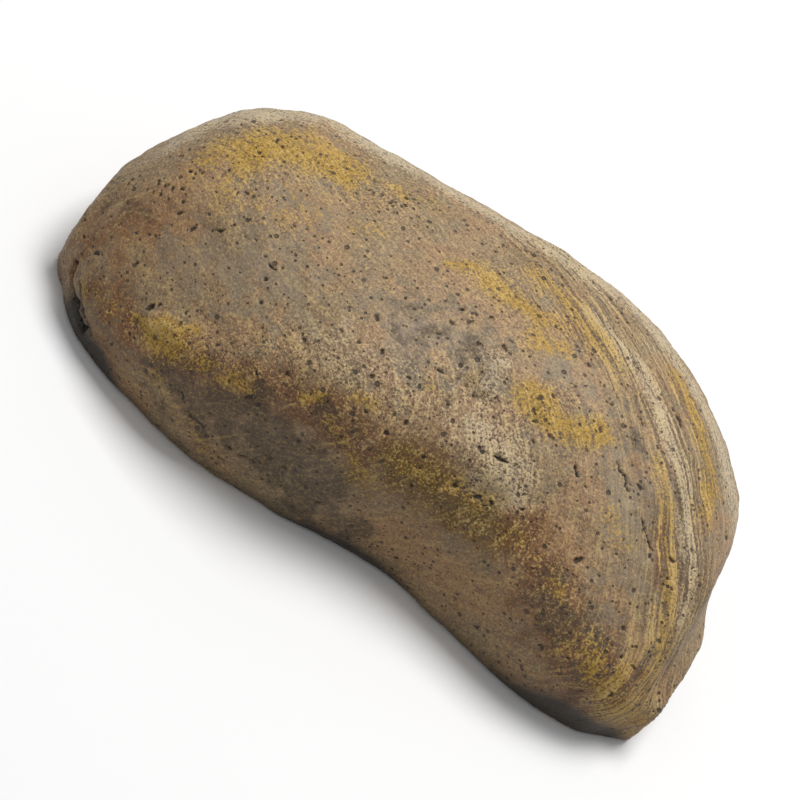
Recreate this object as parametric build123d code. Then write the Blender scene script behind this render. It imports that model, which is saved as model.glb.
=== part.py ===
"""Hide-a-key rock: a hollow cast-resin stone with a key compartment in its flat underside.

Frame: X runs along the stone's length, -Y is its hollowed front flank and +Z is up.
The rim stands on z = 0, and the origin is at the middle of the footprint. Millimetres.

Four separate pieces:
  stone_shell  the cast outer skin, open underneath
  base_fill    the resin poured into its mouth, with the compartment's opening
  key_box      the moulded tub bonded into that opening, with a ledge inside its mouth
  box_lid      the cover that presses onto the ledge and pulls straight out
"""
from build123d import *
import math
import os

os.makedirs("parts", exist_ok=True)

# ---------------------------------------------------------------- driving dimensions
HALF_LENGTH = 75.5
WALL = 6.0
RIM_STEP = 0.4
MIDDLE_Y = -1.25

# The stone's form, as (x, value) from the left nose to the right corner. The y values here
# are counted from the line through the compartment, and the footprint's middle is at MIDDLE_Y.
FRONT_Y = ((-75.5, -16), (-70, -26), (-62, -33.5), (-50, -38.5), (-36, -41.5), (-23, -42), (-8, -40.5),
           (5, -37), (17, -35.5), (32, -37.5), (50, -39.5), (63, -37.5), (70, -33.5), (75.5, -27))
BACK_Y = ((-75.5, -14), (-70, 11), (-62, 23.5), (-50, 30.5), (-35, 33.5), (-15, 36), (5, 39), (25, 40.5),
          (42, 36), (56, 28.5), (66, 19), (71, 3), (75.5, -20))
CREST_Y = ((-75.5, -15), (-60, 0), (-45, 5), (0, 5), (30, 3), (55, -2), (67, -12), (75.5, -23))
CREST_Z = ((-75.5, 12), (-70, 27.5), (-62, 36.5), (-50, 41.5), (-35, 43), (-15, 45.5), (5, 47.5),
           (25, 47), (42, 44), (56, 38.5), (66, 31.5), (71, 19), (75.5, 11))
WAIST_Z = ((-75.5, 11), (-60, 9), (-40, 11), (40, 12), (64, 11), (75.5, 9))
# Share of the height that the front slope loses: 0 is a full square shoulder, 1 a straight ramp.
FRONT_FALL = ((-75.5, 0.7), (-60, 0.9), (-47, 0.8), (-33, 0.42), (-18, 0.15), (-6, 0.12), (17, 0.36),
              (42, 0.52), (60, 0.6), (75.5, 0.4))
FRONT_SQUARENESS = 4.6
BACK_SQUARENESS = 2.4
UNDER_SQUARENESS = 2.5
UNDER_DEPTH = 30.0

SECTIONS = 23
END_ANGLE = 10.0
PROFILE_POINTS = 31
UNDERCUT_ANGLE = 30.0

# Rises (+) and hollows (-) of the weathered skin: the middle, the reach and the height of each.
SWELLS = (
    ((-47, -33, 19), 9, 1.1),       # the lump at the left end of the shoulder
    ((-31, -42, 8), 8, 1.0),        # the low swelling under it
    ((-20, -40, 20), 13, -1.6),     # the hollow under the shoulder
    ((6, -18, 43), 6, -1.0),        # the dent in the top, and the rises round it
    ((12, -12, 45), 8, 0.8),
    ((17, -25, 37), 8, 1.2),
    ((19, -16, 43), 9, -0.9),
    ((29, -12, 44), 9, 1.0),
    ((40, -8, 43), 7, -1.0),        # the groove inside the bedded end
    ((50, -16, 38), 7, -1.3),
    ((57, -24, 31), 7, -1.2),
    ((50, -4, 42), 9, 0.9),         # the bedded end itself
    ((61, -13, 35), 9, 1.0),
    ((32, -30, 27), 9, -1.0),       # the hollow in the right shoulder
)

# The resin poured into the mouth.
FILL_THICKNESS = 10.0
EDGE_BREAK = 0.6

# The compartment: a thin tub with a stepped mouth.
BOX_X, BOX_Y = 2.0, 2.0
MOUTH_LENGTH, MOUTH_WIDTH, MOUTH_RADIUS = 84.0, 42.0, 5.0
BOX_WALL = 1.6
BOX_INSET = 0.8
SEAT_DEPTH = 3.2
LEDGE = 1.4
BOX_HEIGHT = 22.5
MOUTH_BREAK = 0.4

# The lid.
LID_GAP = 0.2
LID_PLATE = 2.6
SKIRT_HEIGHT = 3.0
SKIRT_WALL = 1.4
SKIRT_GAP = 0.35
GRIP_LENGTH, GRIP_WIDTH, GRIP_RADIUS = 24.0, 18.0, 4.0
GRIP_DEPTH = 6.0
GRIP_WALL = 1.5
FIN_THICKNESS = 2.2
FIN_SUNK = 0.8
LID_EDGE = 0.6
FIN_EDGE = 0.7

# Heights that follow from those.
BASE_Z = RIM_STEP
BOX_Z = BASE_Z + BOX_INSET
LEDGE_Z = BOX_Z + SEAT_DEPTH
BOX_TOP_Z = BOX_Z + BOX_HEIGHT
LID_Z = LEDGE_Z - LID_PLATE
SEAT_LENGTH = MOUTH_LENGTH - 2 * BOX_WALL
SEAT_WIDTH = MOUTH_WIDTH - 2 * BOX_WALL
SEAT_RADIUS = MOUTH_RADIUS - BOX_WALL
POCKET_LENGTH = SEAT_LENGTH - 2 * LEDGE
POCKET_WIDTH = SEAT_WIDTH - 2 * LEDGE
POCKET_RADIUS = SEAT_RADIUS - LEDGE


# ---------------------------------------------------------------- the stone's form
def plan_angle(x):
    """The angle round the plan at which an ellipse of the stone's length reaches x."""
    return math.acos(-x / HALF_LENGTH)


def smooth(points, angle):
    """A smooth curve through the points, in the angle round the plan, so that ends round off."""
    at = [plan_angle(x) for x, _ in points]
    value = [v for _, v in points]
    last = len(points) - 1
    k = next((i for i in range(last) if angle <= at[i + 1]), last - 1)

    def slope(i):
        before, after = max(i - 1, 0), min(i + 1, last)
        return (value[after] - value[before]) / (at[after] - at[before])

    step = at[k + 1] - at[k]
    t = (angle - at[k]) / step
    start = (2 * t**3 - 3 * t**2 + 1) * value[k] + (t**3 - 2 * t**2 + t) * step * slope(k)
    end = (3 * t**2 - 2 * t**3) * value[k + 1] + (t**3 - t**2) * step * slope(k + 1)
    return start + end


def swelling(spot):
    """How far the weathered skin stands out at a point."""
    return sum(high * math.exp(-(math.dist(spot, middle) / reach)**2) for middle, reach, high in SWELLS)


def stone_section(angle, inset):
    """One cross-section, square to X. Its flanks run on below the ground, where they are cut off."""
    thinner = inset * math.sin(angle)
    front = smooth(FRONT_Y, angle) + thinner
    back = smooth(BACK_Y, angle) - thinner
    crest_y = smooth(CREST_Y, angle)
    crest_z = smooth(CREST_Z, angle) - thinner
    waist = smooth(WAIST_Z, angle)
    fall = smooth(FRONT_FALL, angle)
    x = -(HALF_LENGTH - inset) * math.cos(angle)
    points = []
    for i in range(PROFILE_POINTS):
        turn = math.radians(-UNDERCUT_ANGLE + (180 + 2 * UNDERCUT_ANGLE) * i / (PROFILE_POINTS - 1))
        out, up = math.cos(turn), math.sin(turn)
        if up < 0:
            square = UNDER_SQUARENESS
        else:
            square = BACK_SQUARENESS if out > 0 else FRONT_SQUARENESS
        reach = (abs(out) ** square + abs(up) ** square) ** (-1 / square)
        side = reach * abs(out)
        rise = reach * abs(up)
        y = crest_y + side * (back - crest_y if out > 0 else front - crest_y)
        if up < 0:
            z = waist - UNDER_DEPTH * rise
        else:
            lost = fall * side**2 if out < 0 else 0.0
            z = waist + (crest_z - waist) * rise * (1 - lost)
        raised = swelling((x, y - MIDDLE_Y, z))
        points.append((x, y - MIDDLE_Y + raised * out, z + raised * up))
    return make_face([Spline(*points), Line(points[-1], points[0])])


def stone_form(inset):
    """The stone's form, smaller all round by the inset, and cut flat at the ground."""
    first = math.radians(END_ANGLE)
    step = (math.pi - 2 * first) / (SECTIONS - 1)
    form = loft([stone_section(first + i * step, inset) for i in range(SECTIONS)])
    above = Pos(0, 0, HALF_LENGTH) * Box(3 * HALF_LENGTH, 3 * HALF_LENGTH, 2 * HALF_LENGTH)
    return form & above


def rounded_block(length, width, radius, low_z, high_z):
    """An upright rounded block over the compartment's centre."""
    outline = Pos(BOX_X, BOX_Y, low_z) * RectangleRounded(length, width, radius)
    return extrude(outline, high_z - low_z)


# ---------------------------------------------------------------- the pieces
def make_stone_shell():
    return stone_form(0.0) - stone_form(WALL)


def make_base_fill():
    slab = Pos(0, 0, BASE_Z + FILL_THICKNESS / 2) * Box(3 * HALF_LENGTH, 3 * HALF_LENGTH, FILL_THICKNESS)
    opening = rounded_block(MOUTH_LENGTH, MOUTH_WIDTH, MOUTH_RADIUS, 0, 2 * FILL_THICKNESS)
    wide = 2 * EDGE_BREAK
    lip = Pos(BOX_X, BOX_Y, BASE_Z) * RectangleRounded(
        MOUTH_LENGTH + wide, MOUTH_WIDTH + wide, MOUTH_RADIUS + EDGE_BREAK)
    return (stone_form(WALL) & slab) - opening - extrude(lip, EDGE_BREAK, taper=45)


def make_key_box():
    flange_top = LEDGE_Z + BOX_WALL
    flange = rounded_block(MOUTH_LENGTH, MOUTH_WIDTH, MOUTH_RADIUS, BOX_Z, flange_top)
    wide = 2 * BOX_WALL
    tub = rounded_block(
        POCKET_LENGTH + wide, POCKET_WIDTH + wide, POCKET_RADIUS + BOX_WALL, flange_top, BOX_TOP_Z)
    seat = rounded_block(SEAT_LENGTH, SEAT_WIDTH, SEAT_RADIUS, BOX_Z, LEDGE_Z)
    pocket = rounded_block(
        POCKET_LENGTH, POCKET_WIDTH, POCKET_RADIUS, LEDGE_Z, BOX_TOP_Z - BOX_WALL)
    box = flange + tub - seat - pocket
    mouth = box.edges().group_by(Axis.Z)[0]
    return chamfer(mouth, MOUTH_BREAK)


def make_box_lid():
    """The plate, the skirt that grips the pocket, and a sunk grip with a fin to pinch."""
    plate = rounded_block(
        SEAT_LENGTH - 2 * LID_GAP, SEAT_WIDTH - 2 * LID_GAP, SEAT_RADIUS - LID_GAP, LID_Z, LEDGE_Z)
    skirt_length = POCKET_LENGTH - 2 * SKIRT_GAP
    skirt_width = POCKET_WIDTH - 2 * SKIRT_GAP
    skirt_top = LEDGE_Z + SKIRT_HEIGHT
    skirt = rounded_block(skirt_length, skirt_width, POCKET_RADIUS - SKIRT_GAP, LEDGE_Z, skirt_top)
    inside = rounded_block(
        skirt_length - 2 * SKIRT_WALL, skirt_width - 2 * SKIRT_WALL, 1.0, LEDGE_Z, skirt_top)
    floor_z = LID_Z + GRIP_DEPTH
    wide = 2 * GRIP_WALL
    pan = rounded_block(
        GRIP_LENGTH + wide, GRIP_WIDTH + wide, GRIP_RADIUS + GRIP_WALL, LEDGE_Z, floor_z + GRIP_WALL)
    sunk = rounded_block(GRIP_LENGTH, GRIP_WIDTH, GRIP_RADIUS, LID_Z, floor_z)
    fin_height = GRIP_DEPTH - FIN_SUNK
    fin_z = floor_z - fin_height / 2
    fin = Pos(BOX_X, BOX_Y, fin_z) * Box(FIN_THICKNESS, GRIP_WIDTH, fin_height)
    lid = plate + (skirt - inside) + pan - sunk
    lid = fillet(lid.edges().group_by(Axis.Z)[0], LID_EDGE)
    fin = fillet(fin.edges().group_by(Axis.Z)[0].sort_by(Axis.X)[::3], FIN_EDGE)
    return lid + fin


PIECES = {
    "stone_shell": make_stone_shell,
    "base_fill": make_base_fill,
    "key_box": make_key_box,
    "box_lid": make_box_lid,
}

for name, make in PIECES.items():
    piece = make()
    export_step(piece, f"parts/{name}.step")
    size = piece.bounding_box().size
    print(f"{name}: {piece.volume / 1000:.1f} cm3, {size.X:.1f} x {size.Y:.1f} x {size.Z:.1f} mm")
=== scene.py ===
# %% [markdown]
# # A hide-a-key rock of painted resin
# From above this is a weathered garden stone. Underneath it is flat, and holds a small box for spare keys.
# The real one is cast: resin is poured in a mould taken from a stone, the skin is painted with sponges and
# a spray can, and a plastic tub is set in the resin that closes the bottom.
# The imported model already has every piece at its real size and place. It is loaded here and never changed.
# What is left to make is what the eye sees: the weathered skin, its paint, and the other pieces' finish.

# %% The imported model
import math
import bmesh
import bpy
import numpy as np
from mathutils import Matrix, Vector, noise
from mathutils.bvhtree import BVHTree


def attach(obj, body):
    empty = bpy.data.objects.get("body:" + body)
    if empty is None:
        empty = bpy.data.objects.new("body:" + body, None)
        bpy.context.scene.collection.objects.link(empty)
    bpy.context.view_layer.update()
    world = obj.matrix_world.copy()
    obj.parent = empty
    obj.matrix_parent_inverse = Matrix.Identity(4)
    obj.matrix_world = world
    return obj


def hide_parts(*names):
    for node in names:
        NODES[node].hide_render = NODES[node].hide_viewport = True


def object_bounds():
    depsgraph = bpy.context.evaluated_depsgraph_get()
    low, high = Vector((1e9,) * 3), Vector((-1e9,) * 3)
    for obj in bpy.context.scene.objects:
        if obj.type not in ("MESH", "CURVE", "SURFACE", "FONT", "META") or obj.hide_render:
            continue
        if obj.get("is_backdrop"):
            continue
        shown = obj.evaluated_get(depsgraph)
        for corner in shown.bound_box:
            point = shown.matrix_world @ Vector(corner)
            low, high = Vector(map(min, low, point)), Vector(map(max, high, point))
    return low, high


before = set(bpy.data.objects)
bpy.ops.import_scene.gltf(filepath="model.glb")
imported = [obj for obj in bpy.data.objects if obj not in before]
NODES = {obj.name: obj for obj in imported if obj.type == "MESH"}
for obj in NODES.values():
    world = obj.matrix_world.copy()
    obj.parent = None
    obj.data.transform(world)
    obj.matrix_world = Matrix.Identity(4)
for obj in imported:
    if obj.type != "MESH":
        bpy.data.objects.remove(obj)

MM = 0.001
NOISE_SEED = 5                     # without one, Blender's vector noise starts from the clock on every run
noise.seed_set(NOISE_SEED)
CAD_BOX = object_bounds()
print("pieces of the packed model:", sorted(NODES))

# %% [markdown]
# ## The camera
# The photograph looks down on the stone's hollowed front at 45 degrees, from half a metre away, and it is
# turned, so that the stone lies across the picture from the upper left to the lower right.
# The camera comes first, because the marks on the stone are placed where the photograph shows them.

# %% The camera
PICTURE = 800                                  # the photograph's sides, in its pixels
FOCAL_PIXELS = 2505                            # focal length, in the same pixels
SENSOR = 36.0
CAMERA_SPOT = Vector((0, -352.3, 373.6)) * MM
CAMERA_AIM = Vector((-2.6, -5.2, 13.6)) * MM
CAMERA_ROLL = math.radians(37.4)

to_camera = (CAMERA_SPOT - CAMERA_AIM).normalized()
level_up = Vector((0, to_camera.z, -to_camera.y))
picture_up = level_up * math.cos(CAMERA_ROLL) - Vector((1, 0, 0)) * math.sin(CAMERA_ROLL)
picture_right = picture_up.cross(to_camera).normalized()
picture_up = to_camera.cross(picture_right)
CAMERA_TURN = Matrix((picture_right, picture_up, to_camera)).transposed()

camera_lens = bpy.data.cameras.new("camera")
camera_lens.sensor_width = SENSOR
camera_lens.lens = FOCAL_PIXELS / PICTURE * SENSOR
camera = bpy.data.objects.new("camera", camera_lens)
camera.matrix_world = Matrix.Translation(CAMERA_SPOT) @ CAMERA_TURN.to_4x4()
bpy.context.scene.collection.objects.link(camera)
bpy.context.scene.camera = camera
print("lens", round(camera_lens.lens, 1), "mm")

# %% [markdown]
# ## The stone's two skins
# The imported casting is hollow: an outer skin, an inner skin and a flat rim between them. Taking the rim
# away leaves two open shells. The outer one becomes the stone that is carved below, and the inner one
# becomes a core that is cut out of it again, as the core of a mould leaves the hollow in a casting.

# %% Taking the casting apart
WELD = 0.005 * MM


def skins(mesh):
    """The faces of the casting without its rim, as one list of faces for each separate skin."""
    shell = bmesh.new()
    shell.from_mesh(mesh)
    bmesh.ops.remove_doubles(shell, verts=shell.verts, dist=WELD)
    rim = [face for face in shell.faces if all(v.co.z < WELD for v in face.verts)]
    bmesh.ops.delete(shell, geom=rim, context="FACES")
    left, found = set(shell.faces), []
    while left:
        grown, skin = [left.pop()], []
        while grown:
            face = grown.pop()
            skin.append(face)
            near = {f for edge in face.edges for f in edge.link_faces if f in left}
            left -= near
            grown.extend(near)
        found.append(skin)
    return shell, found


def keep_skin(mesh, outermost):
    """One of the two skins alone. The outer skin is the one that reaches higher."""
    shell, found = skins(mesh)
    found.sort(key=lambda skin: max(v.co.z for face in skin for v in face.verts))
    unwanted = [face for skin in (found[:-1] if outermost else found[1:]) for face in skin]
    bmesh.ops.delete(shell, geom=unwanted, context="FACES")
    return shell


def close_below(shell, depth):
    """Runs the open bottom edge down by depth, and closes it with a flat face."""
    edge = [e for e in shell.edges if e.is_boundary and max(v.co.z for v in e.verts) < WELD]
    if depth:
        made = bmesh.ops.extrude_edge_only(shell, edges=edge)["geom"]
        for vertex in (v for v in made if isinstance(v, bmesh.types.BMVert)):
            vertex.co.z -= depth
        edge = [e for e in made if isinstance(e, bmesh.types.BMEdge) and e.is_boundary]
    bmesh.ops.edgeloop_fill(shell, edges=edge)
    bmesh.ops.recalc_face_normals(shell, faces=shell.faces)


outer = keep_skin(NODES["stone_shell"].data, outermost=True)
inner = keep_skin(NODES["stone_shell"].data, outermost=False)
print("outer skin", len(outer.faces), "faces, inner skin", len(inner.faces), "faces")

# %% [markdown]
# ## An even net of small faces
# Carving needs faces of one size everywhere. Blender's voxel remesh gives that: it fills the closed form
# with small cubes and wraps a new net round them. Relaxing the net takes the cubes' steps out, and it rolls
# the rim's sharp edge over, as paint and resin do on the real one.

# %% Remeshing and relaxing
SKIN_VOXEL = 0.66 * MM
CORE_VOXEL = 2.2 * MM
SKIN_RELAX, CORE_RELAX = 14, 4
CORE_BELOW = 6 * MM


def even_net(shell, name, voxel):
    """The closed shell as an object with faces of one size."""
    mesh = bpy.data.meshes.new(name)
    shell.to_mesh(mesh)
    piece = bpy.data.objects.new(name, mesh)
    bpy.context.scene.collection.objects.link(piece)
    remesh = piece.modifiers.new("even net", "REMESH")
    remesh.mode = "VOXEL"
    remesh.voxel_size = voxel
    return settle(piece)


def settle(piece):
    """Makes what the modifiers show the piece's own mesh."""
    graph = bpy.context.evaluated_depsgraph_get()
    mesh = bpy.data.meshes.new_from_object(piece.evaluated_get(graph))
    piece.modifiers.clear()
    piece.data = mesh
    return piece


def read(piece):
    """The places of a piece's vertices, one row each."""
    flat = np.empty(len(piece.data.vertices) * 3, np.float32)
    piece.data.vertices.foreach_get("co", flat)
    return flat.reshape(-1, 3).astype(float)


def write(piece, places):
    piece.data.vertices.foreach_set("co", places.astype(np.float32).ravel())
    piece.data.update()


def pairs_of(piece):
    flat = np.empty(len(piece.data.edges) * 2, np.int32)
    piece.data.edges.foreach_get("vertices", flat)
    return flat.reshape(-1, 2)


# %% [markdown]
# Relaxing draws each vertex half of the way to the middle of its neighbours, a few times over. It works on
# the list of edges, so that the whole net is moved at once.

# %% Relaxing the nets


def relaxed(values, pairs, times, share=0.5):
    """Each value drawn towards the mean of its neighbours along the net, several times."""
    ends, others = np.concatenate((pairs, pairs[:, ::-1])).T
    count = np.maximum(np.bincount(ends, minlength=len(values)), 1)
    for _ in range(times):
        mean = np.column_stack(
            [np.bincount(ends, column[others], len(values)) / count for column in values.T])
        values = values + share * (mean - values)
    return values


close_below(outer, 0)
close_below(inner, CORE_BELOW)
stone = even_net(outer, "weathered_stone", SKIN_VOXEL)
core = even_net(inner, "core", CORE_VOXEL)
write(stone, relaxed(read(stone), pairs_of(stone), SKIN_RELAX))
write(core, relaxed(read(core), pairs_of(core), CORE_RELAX))
print("stone", len(stone.data.polygons), "faces, core", len(core.data.polygons), "faces")

# %% [markdown]
# ## The hollow
# The core is swollen a little, by an uneven amount, before it is cut out. That leaves the thin dark joint
# between the painted rim and the poured base, wider in some places and closed in others.

# %% Cutting the hollow
JOINT_GAP = 0.12 * MM
JOINT_UNEVEN = 0.2 * MM
JOINT_GRAIN = 9 * MM


def outward(piece):
    """The direction away from the skin at each vertex."""
    flat = np.empty(len(piece.data.vertices) * 3, np.float32)
    piece.data.vertices.foreach_get("normal", flat)
    return flat.reshape(-1, 3).astype(float)


def rough(places, grain, seed=0, layers=1):
    """Smooth random heights between about -1 and 1, whose bumps are about one grain wide."""
    start = Vector((seed * 7.3, seed * 3.1, seed * 5.7))
    step = 1 / grain
    if layers == 1:
        return np.array([noise.noise(Vector(p) * step + start) for p in places])
    return np.array([noise.fractal(Vector(p) * step + start, 1.0, 2.1, layers) for p in places])


core_places = read(core)
swell = JOINT_GAP + JOINT_UNEVEN * rough(core_places, JOINT_GRAIN, seed=1)
write(core, core_places + outward(core) * swell[:, None])
hollow = stone.modifiers.new("hollow", "BOOLEAN")
hollow.operation = "DIFFERENCE"
hollow.solver = "MANIFOLD"
hollow.object = core
settle(stone)
CORE_TREE = BVHTree.FromObject(core, bpy.context.evaluated_depsgraph_get())
bpy.data.objects.remove(core)
print("hollowed stone", len(stone.data.polygons), "faces")

# %% [markdown]
# ## From the photograph to the stone
# A mark in the photograph has a pixel. A ray from the camera through that pixel meets the stone at one
# point, so each crack, pit and dab of paint below is a short path of pixels, and its widths are millimetres.

# %% Paths over the skin
SKIN_TREE = BVHTree.FromObject(stone, bpy.context.evaluated_depsgraph_get())
USUAL_REACH = 500 * MM


def on_stone(pixel):
    """The point of the stone that the camera sees at a pixel."""
    across, down = pixel
    ray = CAMERA_TURN @ Vector((across - PICTURE / 2, PICTURE / 2 - down, -FOCAL_PIXELS))
    ray.normalize()
    spot = SKIN_TREE.ray_cast(CAMERA_SPOT, ray)[0]
    return np.array(spot or SKIN_TREE.find_nearest(CAMERA_SPOT + ray * USUAL_REACH)[0])


def distance_to(spots, places):
    """How far each place is from the line through some spots."""
    nearest = np.linalg.norm(places - spots[0], axis=1)
    for start, end in zip(spots, spots[1:]):
        along = end - start
        share = np.clip((places - start) @ along / max(along @ along, WELD**2), 0, 1)
        nearest = np.minimum(nearest, np.linalg.norm(places - start - share[:, None] * along, axis=1))
    return nearest


def distance_seen(pixels, places):
    """How far each place is from a path of pixels laid over the stone."""
    return distance_to([on_stone(pixel) for pixel in pixels], places)


def soft_step(value):
    value = np.clip(value, 0, 1)
    return value * value * (3 - 2 * value)


def crooked(places, bend, grain):
    """The same places pushed about by noise, so that what is measured from them comes out ragged."""
    return places + bend * np.array([noise.noise_vector(Vector(p) / grain) for p in places])


# %% [markdown]
# ## Cracks and pits
# The mould was taken from a real stone, so its cracks and gas holes are real dents. Each crack is a path
# with a width and a depth. A pit is a short ragged slit or a round hole. The net is made finer along them
# first, so that an edge can be crisp.

# %% The cracks, from the photograph
# Each crack: its path, its width and its depth in millimetres.
CRACKS = (
    (((75, 262), (73, 276), (73, 292), (77, 310), (84, 330)), 3.3, 2.6),
    (((80, 283), (81, 300), (85, 316), (93, 336)), 0.9, 0.7),
    (((176, 378), (184, 402), (199, 424), (214, 442), (232, 455)), 0.8, 0.5),
    (((226, 449), (240, 456), (254, 463)), 1.1, 0.9),
    (((211, 232), (222, 229), (233, 225)), 0.8, 0.6),
    (((261, 259), (268, 263), (275, 268)), 0.7, 0.5),
    (((438, 369), (449, 374), (458, 378)), 0.9, 0.6),
    (((467, 386), (475, 394)), 1.3, 0.8),
    (((476, 448), (486, 453), (500, 460), (514, 466)), 0.9, 0.6),
    (((521, 350), (532, 356)), 0.6, 0.3),
    (((617, 462), (624, 477), (630, 491)), 0.8, 0.7),
    (((640, 517), (647, 535), (653, 552)), 0.7, 0.5),
    (((672, 406), (678, 418), (681, 428)), 1.0, 0.8),
    (((575, 468), (580, 478), (585, 488)), 0.9, 0.6),
    (((567, 687), (576, 690), (585, 691)), 0.9, 0.6),
)
print(len(CRACKS), "cracks")

# %% [markdown]
# The larger pits are placed one by one. Many more small ones are drawn at random, from a fixed seed, so that
# every run gives the same stone.

# %% The pits
# Each pit: its pixel and its radius in millimetres. It is about as deep.
PITS = (
    ((455, 486), 0.8), ((477, 497), 0.7), ((491, 503), 0.8), ((522, 509), 0.6), ((412, 486), 0.6),
    ((386, 433), 0.6), ((405, 423), 0.5), ((426, 429), 0.5), ((304, 340), 0.6), ((150, 307), 0.7),
    ((160, 305), 0.6), ((186, 313), 0.5), ((265, 279), 0.7), ((261, 302), 0.7), ((139, 240), 0.5),
    ((84, 236), 0.6), ((96, 253), 0.7), ((158, 183), 0.5), ((160, 194), 0.6), ((183, 202), 0.6),
    ((190, 171), 0.5), ((202, 173), 0.5), ((229, 170), 0.6), ((172, 189), 0.5), ((182, 189), 0.5),
    ((216, 192), 0.5), ((180, 213), 0.5), ((193, 229), 0.6), ((622, 658), 0.7), ((579, 560), 0.7),
    ((673, 692), 0.6), ((613, 404), 0.6), ((639, 416), 0.6), ((626, 426), 0.5), ((318, 277), 0.5),
    ((377, 317), 0.7), ((382, 351), 0.7), ((359, 341), 0.6), ((477, 313), 0.5), ((506, 347), 0.7),
    ((479, 342), 0.7), ((461, 364), 0.6), ((360, 510), 0.7), ((249, 397), 0.7), ((372, 376), 0.7),
    ((406, 198), 0.8), ((413, 199), 0.7), ((370, 190), 0.6), ((390, 203), 0.6), ((496, 251), 0.7),
)
GRAIN_PITS = 700
GRAIN_PIT_SMALL, GRAIN_PIT_LARGE = 0.3, 0.6
SLIT_LONGEST = 0.8                             # half a slit's length, in radii
SIZE_VARIES = 0.25
PIT_SEED = 7
OVERHANG = -0.5                                # no pit is drawn where the skin faces further down than this


def slit(draw, spot, radius, normal):
    """A pit's two ends, its radius, and how deep it is. Most pits are drawn out a little sideways."""
    sideways = np.cross(normal, draw.normal(size=3))
    sideways /= np.linalg.norm(sideways)
    half = sideways * radius * MM * SLIT_LONGEST * draw.random()**2
    return [spot - half, spot + half], radius * MM * (1 - SIZE_VARIES * draw.random())


def pit_slits(places, facing):
    """The named pits, then many more that a seeded draw spreads over the skin."""
    draw = np.random.default_rng(PIT_SEED)
    slits = []
    for pixel, radius in PITS:
        spot = on_stone(pixel)
        near = np.argmin(np.linalg.norm(places - spot, axis=1))
        slits.append(slit(draw, spot, radius, facing[near]))
    open_skin = np.flatnonzero(facing[:, 2] > OVERHANG)
    for index in draw.choice(open_skin, GRAIN_PITS, replace=False):
        radius = GRAIN_PIT_SMALL + (GRAIN_PIT_LARGE - GRAIN_PIT_SMALL) * draw.random()**3
        slits.append(slit(draw, places[index], radius, facing[index]))
    return slits


# %% [markdown]
# A crack is narrower than a few faces of the net. Halving the edges near each crack and pit gives its walls
# something to bend, and leaves the rest of the stone as light as it was.

# %% A finer net along the marks
FINE_REACH = 0.9 * MM
CORE_TOUCH = 0.05 * MM


def inner_skin(places):
    """True for the vertices of the hollow, which stay as they are."""
    return np.array([CORE_TREE.find_nearest(Vector(p), CORE_TOUCH)[0] is not None for p in places])


def finer(piece, wanted):
    """Halves the edges of the faces whose vertices are wanted."""
    net = bmesh.new()
    net.from_mesh(piece.data)
    net.verts.ensure_lookup_table()
    edges = {e for i in np.flatnonzero(wanted) for e in net.verts[i].link_edges}
    bmesh.ops.subdivide_edges(net, edges=list(edges), cuts=1, use_grid_fill=True)
    net.to_mesh(piece.data)
    net.free()


places = read(stone)
outside = ~inner_skin(places)
facing = outward(stone)
PIT_SLITS = pit_slits(places[outside], facing[outside])
marked = np.zeros(len(places), bool)
for path, width, _ in CRACKS:
    marked |= distance_seen(path, places) < width * MM / 2 + FINE_REACH / 2
for ends, radius in PIT_SLITS:
    marked |= distance_to(ends, places) < radius + FINE_REACH / 3
finer(stone, marked & outside)
print("finer net:", len(stone.data.polygons), "faces")

# %% [markdown]
# ## The weathered relief
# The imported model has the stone's broad rises and hollows. What is left are lumps the size of a fingertip
# and a grain like coarse sand. Seeded noise gives each layer, and every height is measured in millimetres.
# The bottom edge stays flat, so that the stone still stands firm.

# %% Lumps and grain
LUMPS = ((22.0, 0.35, 2), (8.0, 0.3, 3), (3.2, 0.16, 4), (1.7, 0.07, 5))     # grain width, height, seed
GROUND_FADE = 5 * MM
# Each small rise or hollow that the photograph shows: its path, its reach and its height in millimetres.
RISES = (
    (((150, 322), (176, 334)), 3.5, 0.5),
    (((488, 372), (500, 362)), 3.2, 0.6),
    (((478, 462), (498, 478)), 3.6, 0.5),
    (((468, 384), (478, 396)), 2.6, -0.6),
    (((440, 492), (470, 500), (496, 512)), 3.0, 0.5),
    (((640, 400), (653, 470), (656, 545)), 2.6, -0.5),
    (((602, 330), (650, 374), (664, 420), (682, 480), (690, 560)), 2.0, 0.4),
    (((696, 470), (702, 490)), 2.6, -0.4),
    (((165, 390), (196, 440)), 3.2, 0.4),
)

places = read(stone)
facing = outward(stone)
outside = ~inner_skin(places)
height = np.zeros(len(places))
for grain, tall, seed in LUMPS:
    height[outside] += tall * MM * rough(places[outside], grain * MM, seed, layers=3)
for path, reach, tall in RISES:
    height += tall * MM * soft_step(1 - distance_seen(path, places) / (reach * MM))

# %% [markdown]
# ## Bedding layers
# The right end of the stone shows the edges of thin beds, as slate or sandstone does where it is worn
# across the layers. Beds are parallel sheets, so their height only depends on how far a point lies along
# one direction. Noise bends the sheets a little and makes some beds stand out more than others.

# %% The beds
BEDDING = Vector((0.405, 0.762, -0.506))
BED_THICKNESS = 2.6 * MM
BED_HEIGHT = 0.26 * MM
BED_BEND = 1.6 * MM
BED_WAVE, BED_RIPPLE = 22 * MM, 6 * MM         # how long the bends in the beds are
FINE_BEDS, FINE_SHARE = 2.7, 0.5               # how many lie in a coarse bed, and their height
BED_USUAL, BED_UNEVEN, UNEVEN_GRAIN = 0.6, 0.8, 12 * MM
BAND_EDGE = 1.3                                # how fast the beds fade in towards the middle of their path
BED_PATH = ((560, 262), (606, 322), (650, 376), (676, 440), (688, 520), (680, 610), (650, 690))
BED_REACH = 17 * MM


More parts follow.
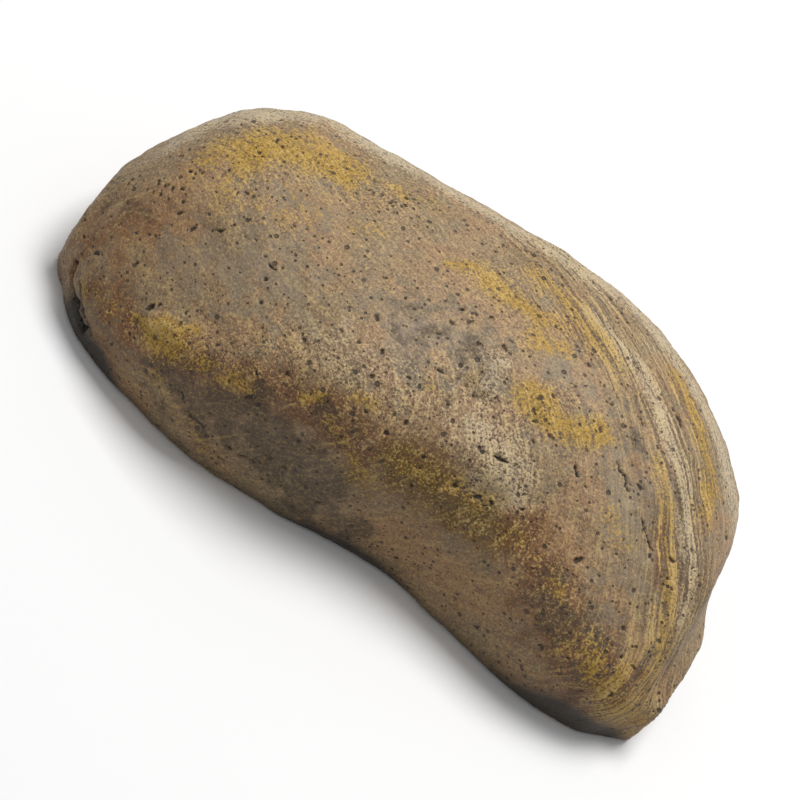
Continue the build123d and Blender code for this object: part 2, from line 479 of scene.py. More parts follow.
def beds(places):
    """How deep in the stack of beds each place lies, counted in beds."""
    bent = rough(places, BED_WAVE, seed=11) * BED_BEND + rough(places, BED_RIPPLE, seed=12) * BED_BEND / 4
    return (places @ np.array(BEDDING) + bent) / BED_THICKNESS


layer = beds(places)
banded = soft_step(BAND_EDGE * (1 - distance_seen(BED_PATH, places) / BED_REACH))
coarse_bed = np.sin(2 * math.pi * layer)
fine_bed = np.sin(2 * math.pi * FINE_BEDS * layer + 1.0)
uneven = BED_USUAL + BED_UNEVEN * rough(places, UNEVEN_GRAIN, seed=13)
height += BED_HEIGHT * banded * uneven * (coarse_bed + FINE_SHARE * fine_bed)

# %% [markdown]
# Last come the marks. Noise pushes the places about before the distance to a crack or pit is measured, so
# that none of them has a straight wall or a round mouth. Then the whole height is added along each vertex's
# own direction, and it fades out towards the ground.

# %% Pressing in the cracks and pits
CRACK_BEND, CRACK_GRAIN = 0.75 * MM, 2.6 * MM
PIT_BEND, PIT_GRAIN = 0.32 * MM, 0.9 * MM
RAGGED, RAGGED_GRAIN = 0.9, 2.2 * MM
PIT_DEPTH = 0.9                                # in radii
WALL_STEEP, HOLE_STEEP = 1.25, 1.5
bent_little = crooked(places, PIT_BEND, PIT_GRAIN)
bent = crooked(bent_little, CRACK_BEND, CRACK_GRAIN)
ragged = 1 + RAGGED * rough(places, RAGGED_GRAIN, seed=20)
crack = np.zeros(len(places))
for path, width, depth in CRACKS:
    wall = soft_step(WALL_STEEP * (1 - distance_seen(path, bent) / (width * MM / 2 * ragged)))
    height -= depth * MM * wall
    crack = np.maximum(crack, wall)
pit = np.zeros(len(places))
for ends, radius in PIT_SLITS:
    hole = soft_step(HOLE_STEEP * (1 - distance_to(ends, bent_little) / radius))
    height -= PIT_DEPTH * radius * hole
    pit = np.maximum(pit, hole)

rest = np.where(outside, soft_step(places[:, 2] / GROUND_FADE), 0)
sideways = facing.copy()
sideways[:, 2] *= rest
places = places + sideways * (height * np.where(outside, 1, 0))[:, None]
places[:, 2] = np.maximum(places[:, 2], 0)
write(stone, places)
for face in stone.data.polygons:
    face.use_smooth = True
print("relief from", round(height.min() / MM, 2), "to", round(height.max() / MM, 2), "mm")
triangles = sum(len(face.vertices) - 2 for face in stone.data.polygons)
print("stone has", triangles, "triangles")

# %% [markdown]
# ## Where the paint lies
# The painter dabbed ochre and moss green on a taupe ground, rubbed rust brown along the shoulder, and let
# dark umber run down the hollow front. Each paint is a number at every vertex, from 0 to 1, that fades out
# from its path. The material reads it and breaks its edges up with noise, as a sponge does.

# %% Ochre and moss
# Each dab: its path, its reach in millimetres and its strength.
OCHRE = (
    (((258, 152), (285, 150), (318, 158), (345, 180)), 5.5, 1.0),
    (((206, 158), (262, 140), (310, 138), (360, 168)), 5.5, 0.7),
    (((228, 196), (262, 206), (300, 216)), 7.0, 0.5),
    (((355, 229), (380, 230)), 3.0, 0.55),
    (((398, 188), (404, 198)), 2.2, 0.7),
    (((428, 198), (440, 208)), 2.6, 0.55),
    (((448, 262), (473, 266)), 2.4, 0.85),
    (((494, 284), (514, 298), (540, 318)), 4.5, 0.95),
    (((536, 272), (566, 300), (592, 338)), 5.0, 0.8),
    (((536, 342), (566, 350)), 3.2, 0.8),
    (((600, 340), (614, 366), (622, 392)), 3.0, 0.4),
    (((532, 388), (548, 398)), 3.0, 0.95),
    (((536, 400), (556, 422), (578, 432), (602, 432)), 4.6, 1.0),
    (((486, 372), (500, 366)), 2.2, 0.45),
    (((428, 386), (436, 390)), 2.0, 0.6),
    (((84, 286), (104, 304), (118, 312)), 3.2, 0.55),
    (((140, 320), (158, 334), (172, 342)), 2.8, 1.0),
    (((160, 328), (196, 330)), 1.8, 0.9),
    (((160, 346), (200, 362), (244, 384)), 4.0, 0.75),
    (((302, 400), (318, 396)), 2.4, 0.85),
    (((330, 424), (350, 450), (368, 480)), 3.4, 0.65),
    (((358, 396), (370, 404)), 2.2, 0.75),
    (((404, 468), (452, 484), (480, 510)), 3.6, 0.6),
    (((510, 536), (536, 556)), 3.6, 0.5),
    (((552, 582), (562, 592)), 2.6, 0.6),
    (((600, 676), (618, 708), (632, 730)), 6.5, 0.75),
    (((560, 640), (600, 660)), 6.0, 0.4),
    (((676, 376), (700, 430), (712, 480), (706, 512)), 4.0, 0.95),
    (((660, 470), (668, 530), (670, 600), (656, 670)), 3.0, 0.65),
    (((608, 510), (624, 548)), 3.0, 0.6),
    (((150, 372), (176, 410), (212, 456)), 3.0, 0.45),
)
MOSS = (
    (((398, 470), (436, 488), (478, 516)), 6.0, 1.0),
    (((440, 500), (480, 530), (500, 545)), 5.0, 0.6),
    (((350, 468), (366, 492)), 4.0, 0.5),
    (((690, 400), (706, 470)), 3.0, 0.5),
    (((84, 288), (110, 316)), 4.0, 0.4),
    (((298, 194), (318, 208)), 5.0, 0.3),
    (((402, 186), (436, 206)), 4.0, 0.3),
)
print(len(OCHRE), "dabs of ochre,", len(MOSS), "of moss green")

# %% Rust and umber
RUST = (
    (((116, 322), (160, 352), (210, 374), (262, 390), (316, 418), (350, 442), (396, 470)), 6.5, 0.85),
    (((440, 478), (474, 514), (520, 548), (560, 592), (584, 640), (606, 700)), 8.0, 0.7),
    (((100, 230), (150, 214), (190, 240)), 9.0, 0.55),
    (((72, 262), (96, 284), (110, 306)), 5.0, 0.4),
    (((636, 460), (656, 520), (660, 580)), 2.6, 0.6),
    (((552, 616), (572, 650), (586, 680)), 7.5, 0.9),
    (((300, 404), (330, 422), (352, 444)), 5.0, 0.95),
)
UMBER = (
    (((206, 402), (256, 426), (312, 470)), 9.0, 1.0),
    (((300, 486), (328, 512), (352, 526)), 5.5, 0.9),
    (((412, 324), (452, 340)), 9.0, 0.42),
    (((318, 412), (340, 430)), 3.5, 0.4),
    (((150, 366), (190, 392)), 5.0, 0.5),
    (((552, 606), (580, 650), (588, 680)), 6.0, 0.75),
    (((636, 436), (648, 472)), 3.5, 0.4),
    (((104, 206), (148, 212)), 4.0, 0.3),
)
print(len(RUST), "dabs of rust,", len(UMBER), "of umber")

# %% Pale stone with a painted rim highlight, slate and rose
PALE_AND_RIM_HIGHLIGHT = (
    (((484, 384), (502, 362)), 3.0, 0.7),
    (((476, 428), (498, 444), (508, 476)), 6.5, 0.62),
    (((470, 484), (506, 498)), 3.6, 0.8),
    (((586, 312), (640, 366), (660, 412)), 2.4, 0.8),
    (((660, 412), (680, 470), (690, 560), (682, 620)), 2.6, 0.75),
    # The next five dabs lie along the top, back and end edges: there the pale paint is a painted rim
    # highlight.
    (((560, 246), (624, 296), (692, 364), (730, 440), (736, 520)), 5.5, 0.8),
    (((390, 152), (470, 192), (550, 236), (610, 278)), 5.5, 0.75),
    (((180, 138), (220, 118), (262, 112), (322, 118), (390, 154)), 6.0, 0.78),
    (((240, 120), (300, 118)), 4.0, 0.6),
    (((60, 250), (66, 300)), 3.0, 0.4),
    (((320, 340), (420, 400)), 9.0, 0.3),
    (((606, 694), (624, 722)), 5.0, 0.45),
)
SLATE = (
    (((190, 262), (250, 266), (300, 284)), 9.0, 0.9),
    (((292, 198), (318, 218)), 6.5, 0.6),
    (((404, 326), (440, 332), (470, 350)), 8.5, 0.95),
    (((560, 366), (588, 396)), 5.5, 0.8),
    (((606, 430), (618, 470), (630, 520), (640, 590)), 4.4, 0.85),
    (((588, 560), (604, 620)), 5.0, 0.6),
    (((540, 300), (556, 316)), 3.0, 0.3),
    (((720, 430), (730, 500), (716, 540)), 5.0, 0.75),
    (((640, 430), (652, 500)), 3.5, 0.7),
)
ROSE = (
    (((510, 522), (545, 540), (576, 566)), 7.0, 0.9),
    (((380, 530), (410, 552), (486, 600)), 7.0, 0.95),
    (((606, 690), (626, 730)), 6.0, 0.9),
    (((96, 338), (112, 366), (136, 396)), 5.0, 0.7),
    (((180, 410), (196, 440), (220, 466)), 4.0, 0.5),
    (((120, 230), (180, 250)), 10.0, 0.6),
)
print(len(PALE_AND_RIM_HIGHLIGHT), "dabs of pale stone,", len(SLATE), "of slate grey,", len(ROSE), "of rose")

# %% [markdown]
# One more set of dabs isn't paint. It says where the skin is coarse, so that its grain shows.
# The photograph doesn't show the back, so all of them lie there in patches that noise places. The rim
# underneath got a nearly full coat of ochre.

# %% Spreading the paint
COARSE = (
    (((250, 350), (330, 370), (424, 398)), 8.0, 0.8),
    (((474, 372), (500, 420), (500, 490)), 8.0, 1.0),
    (((256, 150), (330, 170), (400, 200)), 7.0, 0.5),
    (((490, 284), (550, 320), (600, 350)), 7.0, 0.6),
    (((540, 394), (600, 432)), 5.0, 0.8),
    (((140, 322), (200, 350), (300, 400)), 4.0, 0.8),
    (((340, 430), (400, 470), (470, 510), (540, 556)), 7.0, 0.8),
    (((540, 560), (580, 620), (606, 690)), 7.0, 0.5),
)
PAINTS = {"ochre": OCHRE, "moss": MOSS, "rust": RUST, "umber": UMBER, "pale_and_rim_highlight": PALE_AND_RIM_HIGHLIGHT, "slate": SLATE,
          "rose": ROSE, "coarse": COARSE}


def store(piece, name, values):
    """Keeps one number for each vertex, for a material to read."""
    kept = piece.data.attributes.new(name, "FLOAT", "POINT")
    kept.data.foreach_set("value", values.astype(np.float32))


BEHIND = {"ochre": 0.75, "moss": 0.5, "rust": 0.75, "umber": 0.65, "pale_and_rim_highlight": 0.6, "slate": 0.8, "rose": 0.8,
          "coarse": 0.9}
BEHIND_GRAIN = 17 * MM
RIM_OCHRE = 0.95
WANDER, WANDER_GRAIN = 0.55, 6 * MM            # how far and how often a dab's edge strays
DAB_FALL = 1.2                                 # how fast a dab fades from its path
COVERED = 0.4                                  # a vertex with more paint than this is counted as painted
DOWNWARD, GRAZING, TURN_EDGE = 0.3, 0.3, 2     # where the underside and the back begin, how sharply
underneath = soft_step(TURN_EDGE * (-facing[:, 2] - DOWNWARD)) * outside
hidden = soft_step(TURN_EDGE * (GRAZING - facing @ np.array(to_camera)))
wander = 1 + WANDER * rough(places, WANDER_GRAIN, seed=41, layers=3)
for seed, (name, dabs) in enumerate(PAINTS.items(), 50):
    patchy = soft_step(2 * rough(places, BEHIND_GRAIN, seed, layers=2))
    bare = 1 - BEHIND[name] * hidden * patchy
    if name == "ochre":
        bare = np.minimum(bare, 1 - RIM_OCHRE * underneath)
    for path, reach, strength in dabs:
        far = distance_seen(path, places) / (reach * MM * wander)
        bare *= 1 - strength * np.exp(-DAB_FALL * far**2)
    store(stone, name, 1 - bare)
    print(name, "covers", round(100 * float(np.mean(bare < 1 - COVERED))), "% of the skin")

# %% [markdown]
# The hollow front rolls under at the bottom, and a nearly black band of painted shade is laid along it.
# The skin is also painted darker towards the ground all round, as painted shade. The cracks, pits and beds
# are kept too, so that the material can paint shade into the first two and draw the grain out along the
# third.

# %% The painted shade at the foot
FRONT_BASE = ((72, 318), (96, 360), (128, 402), (172, 446), (222, 486), (337, 544), (400, 592), (470, 652),
              (560, 712), (600, 736))
FOOT_REACH, FOOT_DEPTH = 4.5 * MM, 1.6
low_front = np.minimum(FOOT_DEPTH * np.exp(-(distance_seen(FRONT_BASE, places) / FOOT_REACH)**2), 1)
# Painted shade: the skin is darker towards the ground all round.
GROUND_SHADE_HEIGHT, GROUND_SHADE_DEPTH = 3.5 * MM, 0.7
ground_shade = GROUND_SHADE_DEPTH * np.exp(-(places[:, 2] / GROUND_SHADE_HEIGHT)**2) * (1 - underneath)
store(stone, "crack", crack)
store(stone, "pit", pit)
store(stone, "banded", banded)
store(stone, "foot", np.maximum(low_front, ground_shade))
print("the foot is dark on", round(100 * float(np.mean(low_front > COVERED))), "% of the skin")

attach(stone, "rock")
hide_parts("stone_shell")

# %% [markdown]
# ## Colours and nodes
# A colour is easiest to pick as a hex value, as in any paint program. Blender works in linear light, so one
# function turns the one into the other. Another adds a node, sets it, links it and hands back the output
# that the next node needs. A third lays coats of paint over each other, as a painter does.

# %% Helpers for materials


def linear(colour):
    """An sRGB hex colour as Blender's linear red, green, blue and alpha."""
    parts = [int(colour[i:i + 2], 16) / 255 for i in (1, 3, 5)]
    return [p / 12.92 if p <= 0.04045 else ((p + 0.055) / 1.055)**2.4 for p in parts] + [1.0]


def add(tree, kind, inputs, output=0, **settings):
    """Adds a node and gives one of its outputs. An input is a value, or another node's output to link."""
    made = tree.nodes.new("ShaderNode" + kind)
    for name, value in settings.items():
        setattr(made, name, value)
    for name, value in inputs.items():
        if isinstance(value, bpy.types.NodeSocket):
            tree.links.new(value, made.inputs[name])
        else:
            made.inputs[name].default_value = value
    return made.outputs[output] if made.outputs else made


def new_material(name):
    """A material with an empty node tree."""
    material = bpy.data.materials.new(name)
    material.use_nodes = True
    material.node_tree.nodes.clear()
    return material, material.node_tree


def coated(tree, colour, coats):
    """Lays coats of paint over a colour, one after the other. Each is how much it covers, and its hex."""
    for cover, paint in coats:
        colour = add(tree, "Mix", {0: cover, 6: colour, 7: linear(paint)}, 2, data_type="RGBA")
    return colour


def show(tree, height, strength, surface):
    """Bends the light by a relief in metres, and makes the surface what is seen."""
    bent = add(tree, "Bump", {"Height": height, "Distance": 1.0, "Strength": strength})
    shader = add(tree, "BsdfPrincipled", {**surface, "Normal": bent})
    add(tree, "OutputMaterial", {"Surface": shader})
    print(len(tree.nodes), "nodes")


# %% [markdown]
# ## Painted cast resin
# Cast polyester resin takes the mould's finest grain. Its paint is water-based and dull, with a faint sheen
# where hands have rubbed it. The ground is taupe, mottled in two sizes, and the paints lie over it in the
# order in which they were put on.
# Four sizes of noise do most of the work: mottling as wide as a thumb, clouds as wide as a pea, grain like
# coarse sand, and sand itself. The same grain drives the colour and the bump, because paint that is dabbed
# or rubbed on stays on the high spots and out of the low ones.

# %% The stone's grain
painted_resin, tree = new_material("painted_cast_resin")
where = add(tree, "TexCoord", {}, "Object")
MOTTLE_WIDE, CLOUD_WIDE, GRAIN_WIDE, SAND_WIDE = 20 * MM, 4.5 * MM, 1.05 * MM, 0.5 * MM
mottle = add(tree, "TexNoise", {"Vector": where, "Scale": 1 / MOTTLE_WIDE, "Detail": 3.0}, "Fac")
cloud = add(tree, "TexNoise",
            {"Vector": where, "Scale": 1 / CLOUD_WIDE, "Detail": 4.0, "Roughness": 0.6}, "Fac")
grain = add(tree, "TexNoise",
            {"Vector": where, "Scale": 1 / GRAIN_WIDE, "Detail": 4.0, "Roughness": 0.7}, "Fac")
sand = add(tree, "TexNoise",
           {"Vector": where, "Scale": 1 / SAND_WIDE, "Detail": 2.0, "Roughness": 0.7}, "Fac")
print("finest noise", round(SAND_WIDE / MM, 2), "mm")

# %% [markdown]
# In the beds at the right end the grain is drawn out along the layers, and over the rest of the stone a
# third of it is. The same noise, stretched along two directions and turned to the bedding, gives those long
# streaks.

# %% The streaks of the beds
STREAK_WIDTH, STREAK_LENGTH, STREAKS_ELSEWHERE = 0.55 * MM, 14 * MM, 0.35
bed_turn = Vector((0, 0, 1)).rotation_difference(BEDDING).to_euler()
streak_size = (STREAK_LENGTH, STREAK_LENGTH, STREAK_WIDTH)
along_beds = add(tree, "Mapping", {"Vector": where, "Rotation": bed_turn, "Scale": streak_size},
                 vector_type="TEXTURE")
streaks = add(tree, "TexNoise",
              {"Vector": along_beds, "Scale": 1.0, "Detail": 4.0, "Roughness": 0.62}, "Fac")
streaks = add(tree, "MapRange",
              {"Value": streaks, "From Min": 0.3, "From Max": 0.7, "To Min": 0.14, "To Max": 0.86})
banded_here = add(tree, "Attribute", {}, "Fac", attribute_name="banded")
drawn_out = add(tree, "MapRange", {"Value": banded_here, "To Min": STREAKS_ELSEWHERE})
grain = add(tree, "Mix", {0: drawn_out, 2: grain, 3: streaks})
SAND_SHARE, CLOUD_SHARE = 0.55, 0.5
fine_grain = add(tree, "Mix", {0: SAND_SHARE, 2: grain, 3: sand})
blotches = add(tree, "Mix", {0: CLOUD_SHARE, 2: fine_grain, 3: cloud})

# %% [markdown]
# Under the paint the ground is taupe. The widest noise turns some of it redder, and the clouds turn some of
# it greyer.

# %% The ground colour
TAUPE, TAUPE_RED, TAUPE_GREY = "#937b5c", "#a07f5d", "#8f7e65"
redder = add(tree, "MapRange", {"Value": mottle, "From Min": 0.4, "From Max": 0.62},
             interpolation_type="SMOOTHSTEP")
greyer = add(tree, "MapRange", {"Value": cloud, "From Min": 0.48, "From Max": 0.68},
             interpolation_type="SMOOTHSTEP")
colour = coated(tree, linear(TAUPE), ((redder, TAUPE_RED), (greyer, TAUPE_GREY)))

# %% [markdown]
# ## Sponged paint
# A sponge leaves paint on the high grain only, so each paint's amount is added to the grain. Where the
# amount is large the paint closes up, and at its edge only flecks are left. A thin wash does the same with
# softer edges and lets the ground through.

# %% The paints
RUST_BROWN, UMBER_DARK, PALE_STONE_AND_HIGHLIGHT, SLATE_GREY = "#774a26", "#50402f", "#d0bfa0", "#8e7e68"
OCHRE_YELLOW, MOSS_GREEN, ROSE_TAN = "#b48c22", "#705310", "#ad855d"
FLECKS = 4.0                                   # how strongly the grain breaks a paint up


def sponged(name, flecks, closes, edge, most):
    """How much a paint covers, up to most. Half of the grain is covered where the amount reaches closes."""
    amount = add(tree, "Attribute", {}, "Fac", attribute_name=name)
    level = add(tree, "Math", {0: flecks, 1: FLECKS, 2: amount}, operation="MULTIPLY_ADD")
    closed = FLECKS / 2 + closes
    laid = add(tree, "MapRange",
               {"Value": level, "From Min": closed - edge / 2, "From Max": closed + edge / 2},
               interpolation_type="SMOOTHSTEP")
    near = add(tree, "MapRange", {"Value": amount, "From Min": 0.02, "From Max": 0.3, "To Max": most})
    return add(tree, "Math", {0: laid, 1: near}, operation="MULTIPLY")


slate_here = sponged("slate", cloud, 0.5, 0.9, 0.8)
umber_here = sponged("umber", cloud, 0.45, 0.9, 0.85)
colour = coated(tree, colour, (
    (sponged("rose", blotches, 0.45, 0.9, 0.8), ROSE_TAN),
    (sponged("rust", blotches, 0.42, 0.9, 0.9), RUST_BROWN),
    (slate_here, SLATE_GREY),
    (umber_here, UMBER_DARK),
    # Pale stone paint, which along the top and back edges is a painted rim highlight.
    (sponged("pale_and_rim_highlight", fine_grain, 0.6, 0.8, 0.88), PALE_STONE_AND_HIGHLIGHT),
    (sponged("moss", fine_grain, 0.5, 0.8, 0.95), MOSS_GREEN),
    (sponged("ochre", fine_grain, 0.68, 0.6, 0.92), OCHRE_YELLOW)))

# %% [markdown]
# ## Rubbed grain
# A last dry brush of cream catches the high grain, and dirt stays in the low grain. Both are full only
# where the skin is coarse. They are weakest on the slate patches and in the umber wash, where the mould
# itself was smooth.

# %% Dry brush and dirt
CREAM_DRY, GRAIN_DIRT = "#dcbc7f", "#432f1b"
LEAST_GRAIN, SMOOTHED = 0.6, 0.55
coarse_here = add(tree, "Attribute", {}, "Fac", attribute_name="coarse")
coarse_here = add(tree, "MapRange", {"Value": coarse_here, "To Min": LEAST_GRAIN})
smooth_here = add(tree, "Math", {0: slate_here, 1: umber_here}, operation="MAXIMUM")
smooth_here = add(tree, "MapRange", {"Value": smooth_here, "To Min": 1.0, "To Max": SMOOTHED})
grainy = add(tree, "Math", {0: coarse_here, 1: smooth_here}, operation="MULTIPLY")
high = add(tree, "MapRange", {"Value": grain, "From Min": 0.52, "From Max": 0.7, "To Max": 0.95})
low = add(tree, "MapRange", {"Value": grain, "From Min": 0.47, "From Max": 0.3, "To Max": 1.0})
dark_sand = add(tree, "MapRange", {"Value": sand, "From Min": 0.47, "From Max": 0.32, "To Max": 1.0})
light_sand = add(tree, "MapRange", {"Value": sand, "From Min": 0.54, "From Max": 0.68, "To Max": 0.85})
rubbed = ((CREAM_DRY, high), (GRAIN_DIRT, low), (GRAIN_DIRT, dark_sand), (CREAM_DRY, light_sand))
for paint, amount in rubbed:
    cover = add(tree, "Math", {0: amount, 1: grainy}, operation="MULTIPLY")
    colour = coated(tree, colour, ((cover, paint),))

# %% [markdown]
# ## Pores
# Bubbles that burst against the mould leave round pores, too small for the net. They are dots in some of the
# cells of a random net, and each cell draws its own size. Their dark colour is painted shade, and so is the
# dark in the pits and cracks.

# %% Pores, pits, cracks and the foot, darkened with painted shade
PORE_SHADE, CREVICE_SHADE = "#2f2419", "#15110d"
WIDE_CELL, NARROW_CELL = 2.4 * MM, 1.15 * MM


def pores(cell, share, widest):
    """How open the pores are: about a share of the cells holds one, up to widest cells in radius."""
    spots = {"Vector": where, "Scale": 1 / cell, "Randomness": 1.0}
    lot = add(tree, "TexVoronoi", spots, "Color")
    away = add(tree, "TexVoronoi", spots, "Distance")
    size = add(tree, "MapRange", {"Value": lot, "From Min": 1 - share, "From Max": 0.8, "To Max": widest})
    depth = add(tree, "Math", {0: size, 1: away}, operation="SUBTRACT")
    return add(tree, "MapRange", {"Value": depth, "From Max": widest * 0.4}, interpolation_type="SMOOTHSTEP")


wide_pores = pores(WIDE_CELL, 0.5, 0.26)
narrow_pores = pores(NARROW_CELL, 0.45, 0.34)
pore = add(tree, "Math", {0: wide_pores, 1: narrow_pores}, operation="MAXIMUM")
pit_here = add(tree, "Attribute", {}, "Fac", attribute_name="pit")
crack_here = add(tree, "Attribute", {}, "Fac", attribute_name="crack")
foot_here = add(tree, "Attribute", {}, "Fac", attribute_name="foot")
# Painted shade: pores, pits and cracks are darkened where shade falls inside them.
pore_shade = add(tree, "MapRange", {"Value": pore, "To Max": 0.85})
pit_shade = add(tree, "MapRange", {"Value": pit_here, "From Min": 0.2, "From Max": 0.7, "To Max": 0.92})
crack_shade = add(tree, "MapRange", {"Value": crack_here, "From Min": 0.2, "From Max": 0.7, "To Max": 0.95})
# The painted shade along the foot and near the ground.
foot_shade = add(tree, "MapRange", {"Value": foot_here, "To Max": 0.95})
colour = coated(tree, colour, ((pore_shade, PORE_SHADE), (pit_shade, PORE_SHADE), (crack_shade, CREVICE_SHADE),
                               (foot_shade, CREVICE_SHADE)))

# %% [markdown]
# The grain also bends the light, as a bump measured in millimetres, and the pores are little dents in it.
# Dried acrylic on resin is nearly matt: its roughness wanders between 0.46 and 0.7.

# %% The stone's relief and gloss
BUMP_STRENGTH = 0.9
GRAIN_HEIGHT, SAND_HEIGHT, PORE_DEPTH = 0.55 * MM, 0.22 * MM, 0.3 * MM
rising = add(tree, "Math", {0: grain, 1: GRAIN_HEIGHT}, operation="MULTIPLY")
rising = add(tree, "Math", {0: sand, 1: SAND_HEIGHT, 2: rising}, operation="MULTIPLY_ADD")
rising = add(tree, "Math", {0: rising, 1: grainy}, operation="MULTIPLY")
rising = add(tree, "Math", {0: pore, 1: -PORE_DEPTH, 2: rising}, operation="MULTIPLY_ADD")
dull = add(tree, "MapRange",
           {"Value": cloud, "From Min": 0.3, "From Max": 0.7, "To Min": 0.46, "To Max": 0.7})
show(tree, rising, BUMP_STRENGTH, {"Base Color": colour, "Roughness": dull, "IOR": 1.5})
stone.data.materials.clear()
stone.data.materials.append(painted_resin)


def dress(name, material):
    """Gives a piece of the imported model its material."""
    piece = NODES[name]
    piece.data.materials.clear()
    piece.data.materials.append(material)


# %% [markdown]
# ## The poured base
# After the casting has set, grey resin is poured in its mouth round the tub. It levels itself, so it is
# smooth with a few burst bubbles. The spray can that coloured the rim also reached over it: cream along one
# long side, and ochre at the edge.

# %% Poured grey resin
RESIN_GREY, RESIN_WARM, CREAM_SPRAY, OCHRE_SPRAY = "#8a8371", "#7d7461", "#c6b182", "#a5874a"
SPRAY_NONE, SPRAY_FULL, SPRAY_WAVER = -14 * MM, -26 * MM, 34 * MM
BUBBLE_CELL, BUBBLE_DEPTH = 9 * MM, 0.3 * MM
POOL_WIDE, DUST_WIDE, DUST_HEIGHT = 16 * MM, 1.2 * MM, 0.05 * MM

poured_resin, tree = new_material("poured_grey_resin")
where = add(tree, "TexCoord", {}, "Object")
pools = add(tree, "TexNoise",
            {"Vector": where, "Scale": 1 / POOL_WIDE, "Detail": 3.0, "Roughness": 0.6}, "Fac")
dust = add(tree, "TexNoise",
           {"Vector": where, "Scale": 1 / DUST_WIDE, "Detail": 3.0, "Roughness": 0.7}, "Fac")
across = add(tree, "SeparateXYZ", {0: where}, "Y")
waver = add(tree, "Math", {0: pools, 1: SPRAY_WAVER, 2: across}, operation="MULTIPLY_ADD")
sprayed = add(tree, "MapRange", {"Value": waver, "From Min": SPRAY_NONE + SPRAY_WAVER / 2,
                                 "From Max": SPRAY_FULL + SPRAY_WAVER / 2, "To Max": 0.9},
              interpolation_type="SMOOTHSTEP")
warmer = add(tree, "MapRange", {"Value": pools, "From Min": 0.4, "From Max": 0.65})
dusted = add(tree, "MapRange", {"Value": dust, "From Min": 0.55, "From Max": 0.7, "To Max": 0.3})
# Each burst bubble is a small dent, darkened with painted shade.
bubble_away = add(tree, "TexVoronoi",
                  {"Vector": where, "Scale": 1 / BUBBLE_CELL, "Randomness": 1.0}, "Distance")
bubble = add(tree, "MapRange", {"Value": bubble_away, "From Min": 0.07, "From Max": 0.04})
colour = coated(tree, linear(RESIN_GREY), (
    (warmer, RESIN_WARM),
    (sprayed, CREAM_SPRAY),
    (dusted, OCHRE_SPRAY),
    (bubble, PORE_SHADE)))
rising = add(tree, "Math", {0: dust, 1: DUST_HEIGHT}, operation="MULTIPLY")
rising = add(tree, "Math", {0: bubble, 1: -BUBBLE_DEPTH, 2: rising}, operation="MULTIPLY_ADD")
show(tree, rising, 0.7, {"Base Color": colour, "Roughness": 0.42})
dress("base_fill", poured_resin)

# %% [markdown]
# ## The tub and its lid
# Both are injection-moulded polypropylene in a brown so dark that it looks black in the tub's depth. The
# steel mould was spark-eroded, which leaves a fine even texture and a soft, wide highlight.

# %% Moulded brown plastic
PLASTIC_BROWN, PLASTIC_WORN = "#2b231d", "#4a3f35"
SPARK_WIDE, SPARK_HEIGHT, WEAR_WIDE = 0.35 * MM, 0.05 * MM, 8 * MM
moulded_plastic, tree = new_material("moulded_polypropylene")
where = add(tree, "TexCoord", {}, "Object")
sparks = add(tree, "TexNoise",
             {"Vector": where, "Scale": 1 / SPARK_WIDE, "Detail": 2.0, "Roughness": 0.6}, "Fac")
wear = add(tree, "TexNoise",
           {"Vector": where, "Scale": 1 / WEAR_WIDE, "Detail": 5.0, "Roughness": 0.7}, "Fac")
worn = add(tree, "MapRange", {"Value": wear, "From Min": 0.5, "From Max": 0.75, "To Max": 0.5})
colour = coated(tree, linear(PLASTIC_BROWN), ((worn, PLASTIC_WORN),))
rising = add(tree, "Math", {0: sparks, 1: SPARK_HEIGHT}, operation="MULTIPLY")
show(tree, rising, 0.6, {"Base Color": colour, "Roughness": 0.45, "IOR": 1.49})
dress("key_box", moulded_plastic)
dress("box_lid", moulded_plastic)

# %% [markdown]
# ## The studio
# The photograph is lit from high above, and its front stays in soft shade. One large lamp does that, and a
# pale sky fills in. The floor and the sky are white to the camera, and greyer to the light that bounces, so
# that they don't brighten the stone's shaded front.

# %% Floor, lamp and sky
FLOOR_SIZE = 6.0
LAMP_SIZE = 0.5
LAMP_DISTANCE = 1.1
LAMP_FROM = Vector((0.1, 0.26, 1.0)).normalized()
LAMP_WATTS = 9.2
SKY_STRENGTH = 0.42
FLOOR_BOUNCE, WHITE = "#a0a0a0", "#ffffff"

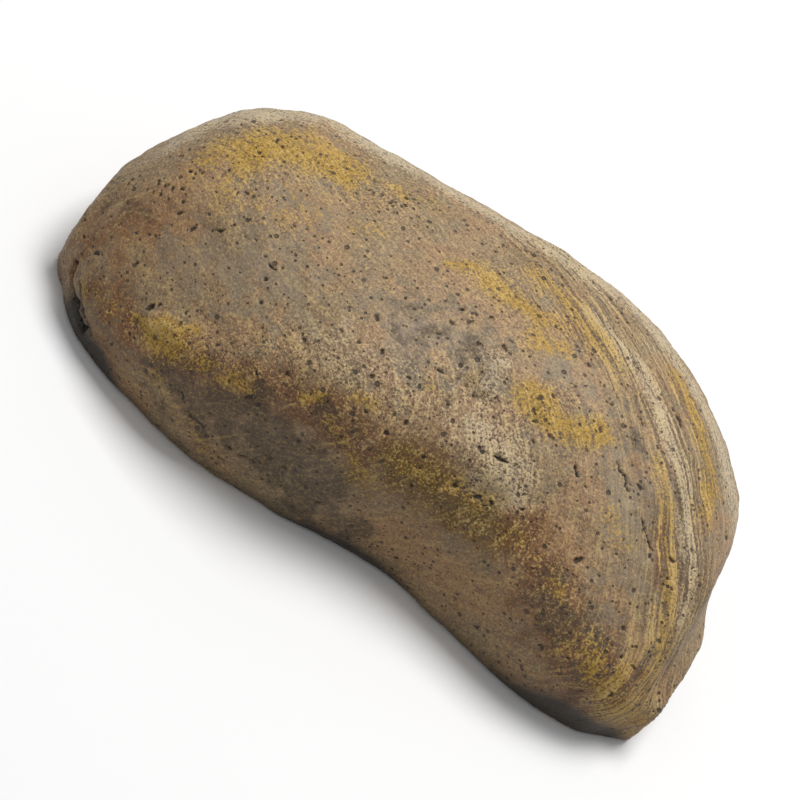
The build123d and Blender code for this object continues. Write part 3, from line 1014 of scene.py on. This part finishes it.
floor_mesh = bpy.data.meshes.new("floor")
half = FLOOR_SIZE / 2
floor_corners = [(-half, -half, 0), (half, -half, 0), (half, half, 0), (-half, half, 0)]
floor_mesh.from_pydata(floor_corners, [], [(0, 1, 2, 3)])
floor = bpy.data.objects.new("floor", floor_mesh)
bpy.context.scene.collection.objects.link(floor)
floor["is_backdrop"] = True


def seen_directly(tree):
    """1 for a ray from the camera, or one that a shiny or clear surface sends on."""
    shiny = add(tree, "Math", {0: add(tree, "LightPath", {}, "Is Camera Ray"),
                               1: add(tree, "LightPath", {}, "Is Glossy Ray")}, operation="MAXIMUM")
    clear = add(tree, "LightPath", {}, "Is Transmission Ray")
    return add(tree, "Math", {0: shiny, 1: clear}, operation="MAXIMUM")


floor_paper, tree = new_material("floor_paper")
colour = coated(tree, linear(FLOOR_BOUNCE), ((seen_directly(tree), WHITE),))
paper = add(tree, "BsdfDiffuse", {"Color": colour})
add(tree, "OutputMaterial", {"Surface": paper})
floor_mesh.materials.append(floor_paper)

lamp_data = bpy.data.lights.new("soft_lamp", "AREA")
lamp_data.size = LAMP_SIZE
lamp_data.energy = LAMP_WATTS
lamp = bpy.data.objects.new("soft_lamp", lamp_data)
lamp_turn = LAMP_FROM.to_track_quat("Z", "Y").to_matrix().to_4x4()
lamp.matrix_world = Matrix.Translation(LAMP_FROM * LAMP_DISTANCE) @ lamp_turn
bpy.context.scene.collection.objects.link(lamp)

sky = bpy.data.worlds.new("sky")
bpy.context.scene.world = sky
sky.use_nodes = True
sky.node_tree.nodes.clear()
glow = add(sky.node_tree, "MapRange", {"Value": seen_directly(sky.node_tree), "To Min": SKY_STRENGTH})
add(sky.node_tree, "OutputWorld", {"Surface": add(sky.node_tree, "Background", {"Strength": glow})})
bpy.context.scene.view_settings.view_transform = "Standard"

# %% [markdown]
# ## The two boxes
# The dressed stone has to fill the same box as the imported model, so both boxes are printed side by side.

# %% Size
VISUAL_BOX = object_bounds()
for label, (low, high) in (("CAD", CAD_BOX), ("visual", VISUAL_BOX)):
    print(label, "box in mm:", [round(x / MM, 2) for x in low], [round(x / MM, 2) for x in high])
